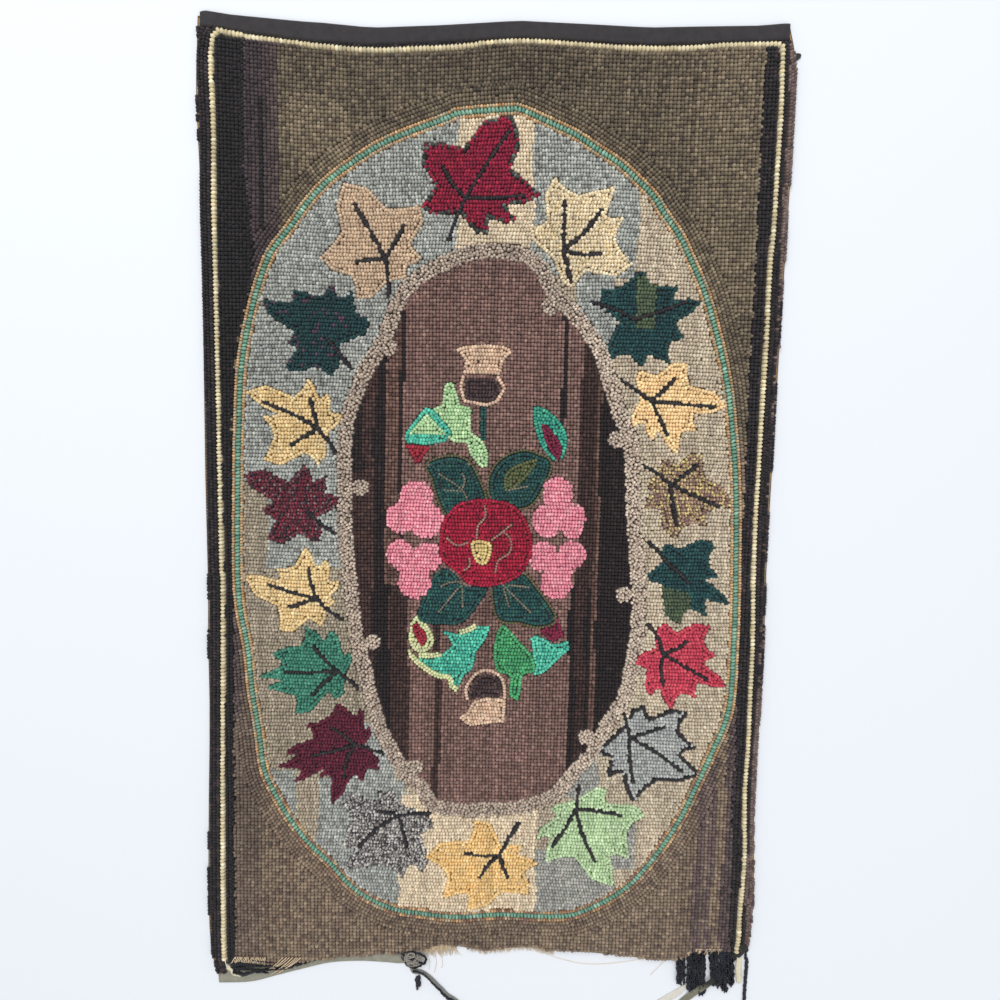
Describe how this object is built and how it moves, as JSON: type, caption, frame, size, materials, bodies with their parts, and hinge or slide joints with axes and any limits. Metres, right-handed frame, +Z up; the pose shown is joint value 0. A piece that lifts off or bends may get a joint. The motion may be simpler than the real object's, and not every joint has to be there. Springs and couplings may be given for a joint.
{
  "type": "hooked rug",
  "caption": "Flat rectangular rug of short loops hooked in rows through burlap, with tape over one end and a worn, frayed other end.",
  "frame": {"origin": "on the floor under the middle of the bounding box", "axes": "+Y along the rug's length to its taped top edge, +X to the right edge, +Z up out of the hooked face"},
  "size_m": [0.6208, 1.0872, 0.0087],
  "materials": {
    "hooked_loops": "looped wool and cotton strips, matt",
    "black_tape": "smooth woven cotton tape, matt",
    "olive_tape": "faded cotton tape, matt",
    "dark_tape": "twisted cotton tape, matt",
    "pale_ribbon": "thin pale ribbon, soft sheen",
    "black_rag": "slippery knitted rag strip, soft sheen",
    "cream_rag": "wool strip, matt",
    "jute": "frayed jute yarn, matt"
  },
  "bodies": {
    "root": {"hooked_panel": "hooked_loops", "top_binding": "black_tape", "binding_tail": "black_tape", "bottom_tape": "olive_tape", "torn_knot": "black_rag", "corner_tape": "dark_tape", "pale_ribbon": "pale_ribbon", "black_strip": "black_rag", "cream_strip": "cream_rag", "rag_locks": "black_rag", "worn_strips": "black_rag", "jute_fray_left": "jute", "jute_fray_middle": "jute", "jute_fray_right": "jute"}
  },
  "joints": []
}
